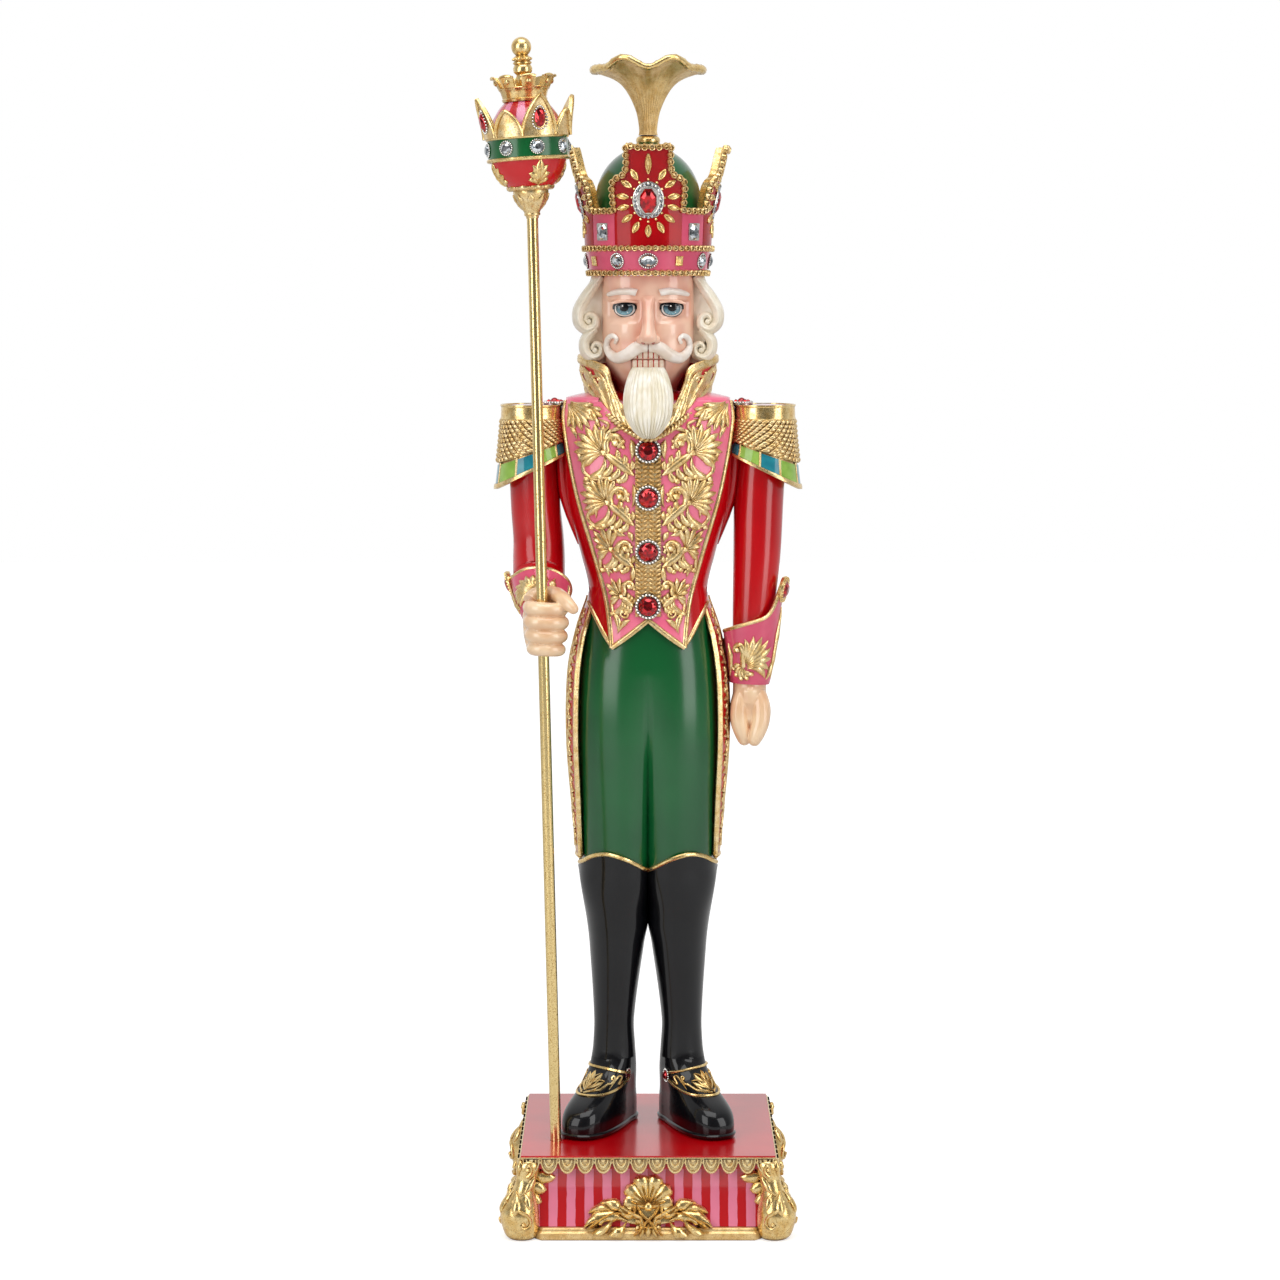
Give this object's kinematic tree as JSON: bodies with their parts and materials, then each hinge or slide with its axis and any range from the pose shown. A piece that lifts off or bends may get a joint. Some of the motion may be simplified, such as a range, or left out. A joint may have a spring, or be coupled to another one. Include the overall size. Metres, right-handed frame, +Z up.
{
  "type": "nutcracker figure",
  "caption": "Painted resin king nutcracker with a hinged jaw worked by a back lever, a crown with a trumpet finial and a lift-out staff, on a footed base.",
  "frame": {"origin": "middle of the base's underside, on the surface that the figure stands on", "axes": "+Z up the figure, -Y the way that it faces, +X to the figure's own left"},
  "size_m": [0.2491, 0.228, 0.9161],
  "materials": {
    "gold": "antique gold paint over cast resin",
    "pole": "speckled gold paint",
    "red": "clear-coated red paint over cast resin",
    "pink": "clear-coated rose paint over cast resin",
    "green": "clear-coated green paint over cast resin",
    "black": "clear-coated black paint over cast resin",
    "flesh": "clear-coated flesh paint over cast resin",
    "ivory": "satin cream paint over carved resin",
    "lever": "red paint over cast resin",
    "ruby": "faceted red resin stone in a metal setting",
    "steel": "plain steel pin"
  },
  "bodies": {
    "figure": {"base_plate": "gold", "scallop_trim": "gold", "corner_scroll_front_left": "gold", "corner_scroll_front_right": "gold", "corner_scroll_back_left": "gold", "corner_scroll_back_right": "gold", "cartouche_front": "gold", "cartouche_back": "gold", "cartouche_left": "gold", "cartouche_right": "gold", "placket": "gold", "finial_ring": "gold", "trumpet_finial": "gold", "epaulette_fringe_left": "gold", "epaulette_fringe_right": "gold", "base_slab": "red", "coat": "red", "coat_tails": "red", "collar": "red", "crown_wall": "red", "sleeve_left": "red", "sleeve_right": "red", "epaulette_board_left": "red", "epaulette_board_right": "red", "base_block": "pink", "waistcoat": "pink", "cuff_left": "pink", "cuff_right": "pink", "crown_rim": "pink", "breeches": "green", "crown_dome": "green", "shoe_left": "black", "shoe_right": "black", "boot_left": "black", "boot_right": "black", "head": "flesh", "hand_left": "flesh", "hand_right": "flesh", "hair": "ivory", "moustache": "ivory", "button_1": "ruby", "button_2": "ruby", "button_3": "ruby", "button_4": "ruby", "crown_jewel": "ruby", "shoulder_stud_left": "ruby", "shoulder_stud_right": "ruby", "jaw_pin": "steel"},
    "jaw": {"jaw": "flesh", "jaw_lever": "lever", "beard": "ivory"},
    "staff": {"staff_pole": "pole", "staff_cup": "gold", "staff_orb": "red", "staff_petals": "gold", "staff_crownlet": "gold", "staff_finial": "gold"}
  },
  "joints": [
    {"name": "jaw_hinge", "type": "hinge", "parent": "figure", "child": "jaw", "pos_m": [0, 0.022, 0.612], "axis": [1, 0, 0], "range_deg": [0, 9]},
    {"name": "staff_lift", "type": "slide", "parent": "figure", "child": "staff", "axis": [-0.0222, 0, 0.9998], "range_m": [0, 0.45]}
  ]
}
